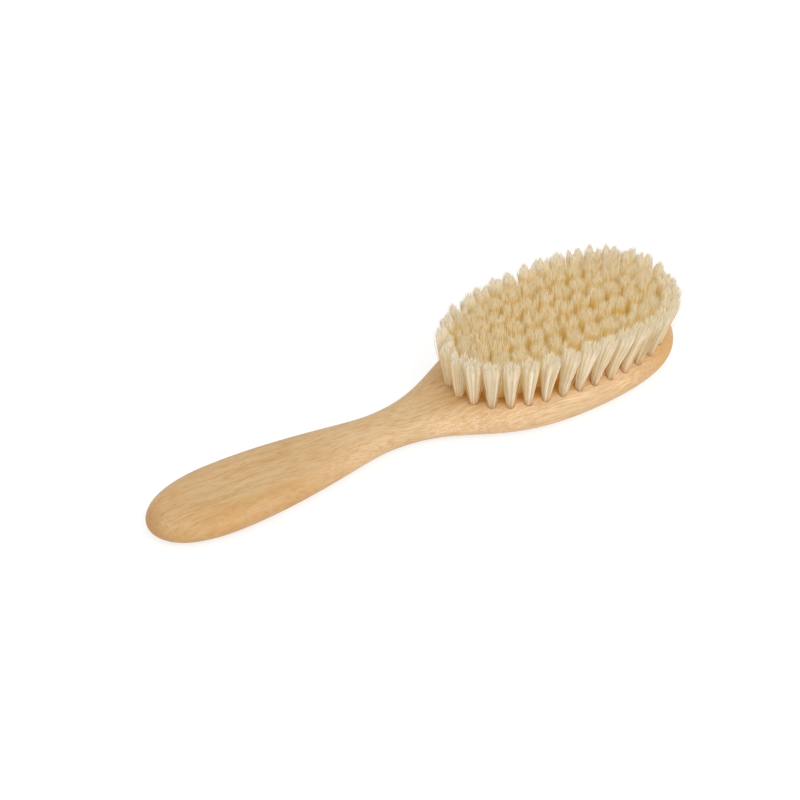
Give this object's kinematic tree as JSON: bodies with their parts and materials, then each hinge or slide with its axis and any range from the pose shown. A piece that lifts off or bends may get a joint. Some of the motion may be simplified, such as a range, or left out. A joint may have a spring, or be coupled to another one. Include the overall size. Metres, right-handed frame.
{
  "type": "baby grooming brush",
  "caption": "Small wooden hair brush with a waisted one-piece handle and oval head, set with dense soft pale bristle tufts.",
  "frame": {"origin": "on the resting plane under the flat back, halfway along the wood and on its centre line", "axes": "+X along the brush from the handle's butt to the head's nose, +Y across it, +Z from the flat back up to the tips of the hair"},
  "size_m": [0.18, 0.0466, 0.0284],
  "materials": {
    "beech": "oiled satin",
    "goat_hair": "natural soft hair"
  },
  "bodies": {
    "root": {"wooden_body": "beech", "tuft_row_1": "goat_hair", "tuft_row_2": "goat_hair", "tuft_row_3": "goat_hair", "tuft_row_4": "goat_hair", "tuft_row_5": "goat_hair", "edge_tuft_01": "goat_hair", "edge_tuft_02": "goat_hair", "edge_tuft_03": "goat_hair", "edge_tuft_04": "goat_hair", "edge_tuft_05": "goat_hair", "edge_tuft_06": "goat_hair", "edge_tuft_07": "goat_hair", "edge_tuft_08": "goat_hair", "edge_tuft_09": "goat_hair", "edge_tuft_10": "goat_hair", "edge_tuft_11": "goat_hair", "edge_tuft_12": "goat_hair", "edge_tuft_13": "goat_hair", "edge_tuft_14": "goat_hair", "edge_tuft_15": "goat_hair", "edge_tuft_16": "goat_hair", "edge_tuft_17": "goat_hair", "edge_tuft_18": "goat_hair", "edge_tuft_19": "goat_hair", "edge_tuft_20": "goat_hair", "edge_tuft_21": "goat_hair", "edge_tuft_22": "goat_hair", "edge_tuft_23": "goat_hair", "edge_tuft_24": "goat_hair", "edge_tuft_25": "goat_hair", "edge_tuft_26": "goat_hair", "edge_tuft_27": "goat_hair", "edge_tuft_28": "goat_hair", "edge_tuft_29": "goat_hair", "edge_tuft_30": "goat_hair", "edge_tuft_31": "goat_hair", "edge_tuft_32": "goat_hair", "edge_tuft_33": "goat_hair"}
  },
  "joints": []
}
